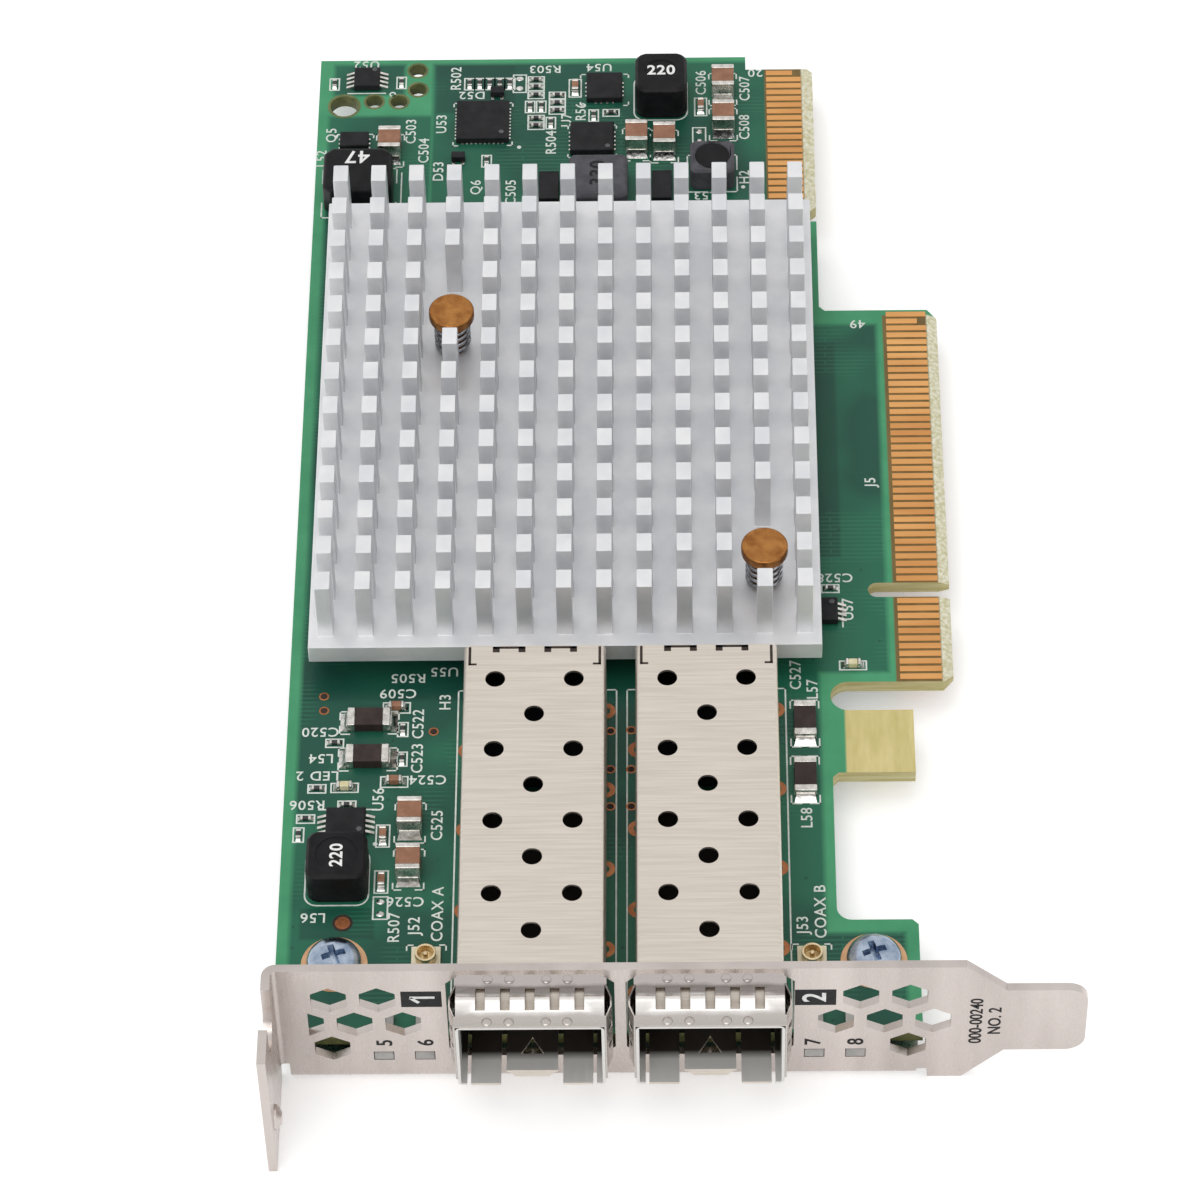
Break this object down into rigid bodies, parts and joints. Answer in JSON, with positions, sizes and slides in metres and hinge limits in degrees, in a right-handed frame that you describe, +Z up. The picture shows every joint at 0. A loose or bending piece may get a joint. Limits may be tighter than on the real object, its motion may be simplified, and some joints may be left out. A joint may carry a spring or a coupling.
{
  "type": "network interface card",
  "caption": "Low-profile network interface card: circuit board with pin-fin heat sink, sprung port cages, edge connector and vented steel bracket.",
  "frame": {"origin": "middle of the card's bounding box, on the surface that it lies on, at the bracket's lower edge", "axes": "+X towards the edge connector, +Y away from the bracket, +Z up from the component side"},
  "size_m": [0.0792, 0.1458, 0.0184],
  "materials": {
    "solder_mask": "satin green solder mask",
    "gold_plate": "gold plate",
    "bracket_nickel": "satin nickel plate",
    "cage_nickel": "brushed nickel plate",
    "spring_sheet": "bright spring sheet",
    "screw_steel": "bright zinc plate",
    "bare_aluminium": "bead-blasted, clear",
    "pin_brass": "turned brass",
    "spring_steel": "dark wire",
    "pad_grey": "soft grey pad",
    "chip_black": "moulded black",
    "port_black": "moulded black",
    "capacitor_tan": "fired tan ceramic",
    "bead_grey": "dark grey ferrite",
    "resistor_black": "glazed black",
    "tinned_metal": "tinned",
    "lamp_clear": "clear pale resin",
    "pipe_clear": "frosted clear",
    "inductor_black": "moulded black",
    "inductor_grey": "pressed grey powder",
    "jack_ivory": "moulded ivory"
  },
  "bodies": {
    "root": {"circuit_board": "solder_mask", "edge_contacts": "gold_plate", "rear_edge_contacts": "gold_plate", "coax_jacks": "gold_plate", "bracket": "bracket_nickel", "port_1_cage": "cage_nickel", "port_2_cage": "cage_nickel", "port_1_spring_collar": "spring_sheet", "port_2_spring_collar": "spring_sheet", "bracket_screws": "screw_steel", "bracket_standoffs": "screw_steel", "heat_sink": "bare_aluminium", "push_pins": "pin_brass", "push_pin_springs": "spring_steel", "thermal_pad": "pad_grey", "controller_chip": "chip_black", "monitor_chip": "chip_black", "regulator_chip": "chip_black", "power_stage_chip": "chip_black", "switching_transistor": "chip_black", "memory_chip": "chip_black", "converter_chip": "chip_black", "bus_chip": "chip_black", "power_diodes": "chip_black", "port_1_connector": "port_black", "port_2_connector": "port_black", "ceramic_capacitors": "capacitor_tan", "ferrite_beads": "bead_grey", "chip_resistors": "resistor_black", "chip_end_caps": "tinned_metal", "package_leads": "tinned_metal", "status_lamps": "lamp_clear", "link_light_pipes": "pipe_clear", "rear_inductor": "inductor_black", "front_inductor": "inductor_black", "left_inductor": "inductor_black", "round_inductor": "inductor_black", "flat_inductor": "inductor_grey", "coax_jack_bases": "jack_ivory"}
  },
  "joints": []
}
